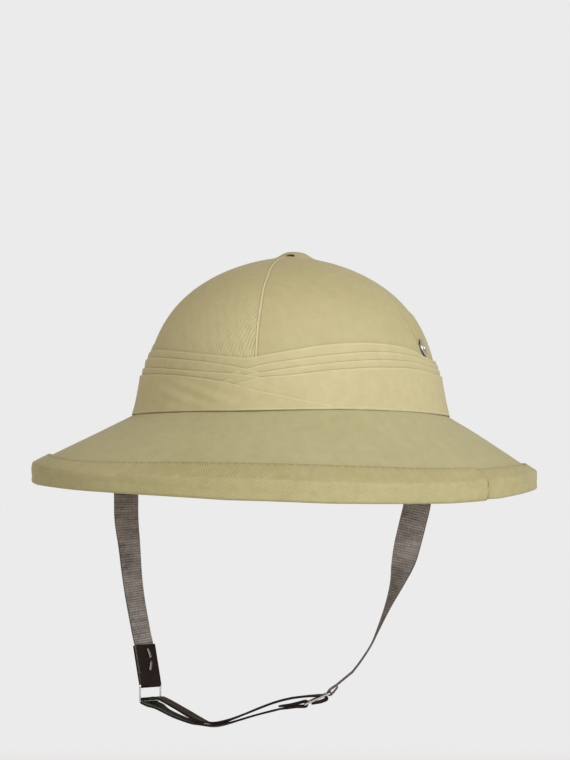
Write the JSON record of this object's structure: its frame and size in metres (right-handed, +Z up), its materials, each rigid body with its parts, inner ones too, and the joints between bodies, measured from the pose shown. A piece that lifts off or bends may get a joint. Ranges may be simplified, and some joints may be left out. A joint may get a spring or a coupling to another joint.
{
  "type": "pith helmet",
  "caption": "Cloth-covered pith sun helmet with a domed crown, pleated band, sloping bound brim, vent cap, side eyelets, and a webbing and leather chin strap.",
  "frame": {"origin": "centre of the head opening, level with the line where the crown's and the brim's faces meet", "axes": "+Z up out of the crown's top, -Y out of the hat's front, +X out of the wearer's left side"},
  "size_m": [0.3052, 0.3414, 0.2863],
  "materials": {
    "pith": "matt moulded pith",
    "cotton": "matt khaki cotton drill",
    "band_cotton": "matt, slightly paler cotton",
    "nickel": "worn nickel plate",
    "steel": "plated wire, slightly dull",
    "webbing": "faded brown ribbed webbing",
    "leather": "dark brown, satin grain side"
  },
  "bodies": {
    "root": {"shell": "pith", "crown_cover": "cotton", "brim_cover": "cotton", "edge_binding": "cotton", "pugree": "band_cotton", "vent_cap": "cotton", "eyelet_left": "nickel", "eyelet_right": "nickel", "webbing_left": "webbing", "webbing_right": "webbing", "strap_anchor_left": "steel", "strap_anchor_right": "steel", "strap_tab": "leather", "split_rivet": "steel", "strap_ring": "steel", "strap_slide": "steel", "chin_strap": "leather"}
  },
  "joints": []
}
